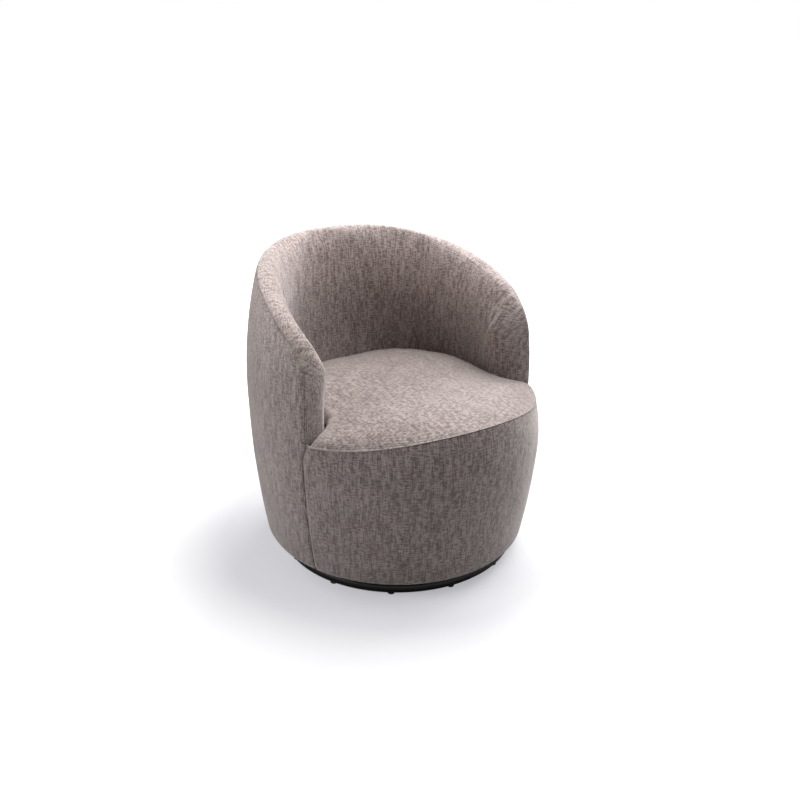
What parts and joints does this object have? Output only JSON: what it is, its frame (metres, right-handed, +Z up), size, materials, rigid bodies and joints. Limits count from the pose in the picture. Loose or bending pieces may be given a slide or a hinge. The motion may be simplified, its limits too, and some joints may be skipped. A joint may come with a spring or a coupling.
{
  "type": "swivel armchair",
  "caption": "Low barrel armchair with an oval upholstered shell whose rim falls into rounded arm fronts, a crowned tight seat and a round tubular base on which it turns.",
  "frame": {"origin": "on the floor, under the middle of the oval shell; the swivel axis is 17 mm in front of it", "axes": "+Z up, parallel to the swivel axis, -Y towards the chair's front, +X towards the sitter's left"},
  "size_m": [0.6376, 0.7173, 0.6775],
  "materials": {
    "taupe_fabric": "slubby woven chenille, soft and matt",
    "seat_foam": "cut foam",
    "grey_felt": "pressed felt",
    "black_cloth": "thin non-woven cloth",
    "plywood": "raw plywood",
    "hardboard": "raw hardboard",
    "black_steel": "satin black powder coat",
    "zinc_steel": "zinc plated",
    "glide_plastic": "moulded"
  },
  "bodies": {
    "base": {"base_ring": "black_steel", "glide_feet": "glide_plastic", "cross_tube": "black_steel", "cross_stubs": "black_steel", "lower_swivel_plate": "zinc_steel", "lower_plate_bolts": "zinc_steel", "lower_plate_nuts": "zinc_steel", "swivel_pivot": "zinc_steel"},
    "bearing_cage": {"ball_cage": "zinc_steel", "bearing_balls": "zinc_steel"},
    "seat": {"upper_swivel_plate": "zinc_steel", "upper_plate_bolts": "zinc_steel", "tee_nuts": "zinc_steel", "bottom_board": "plywood", "dust_cover": "black_cloth", "lower_ribs": "plywood", "seat_rail": "plywood", "front_rail": "plywood", "back_ribs": "plywood", "left_arm_ribs": "plywood", "right_arm_ribs": "plywood", "left_arm_post": "plywood", "right_arm_post": "plywood", "back_rim_rail": "plywood", "left_rim_rail": "plywood", "right_rim_rail": "plywood", "outer_lining": "hardboard", "front_lining": "hardboard", "seat_springs": "zinc_steel", "spring_clips": "zinc_steel", "spring_pad": "grey_felt", "seat_foam": "seat_foam", "seat_cover": "taupe_fabric", "front_panel": "taupe_fabric", "outer_cover": "taupe_fabric", "back_pad": "taupe_fabric", "left_arm_pad": "taupe_fabric", "right_arm_pad": "taupe_fabric"}
  },
  "joints": [
    {"name": "seat_swivel", "type": "hinge", "parent": "base", "child": "seat", "pos_m": [0, -0.017, 0.0345], "axis": [0, 0, 1], "continuous": true},
    {"name": "cage_turn", "type": "hinge", "parent": "base", "child": "bearing_cage", "pos_m": [0, -0.017, 0.0345], "axis": [0, 0, 1], "continuous": true}
  ],
  "couplings": [
    {"joint": "cage_turn", "follows": "seat_swivel", "ratio": 0.5}
  ]
}
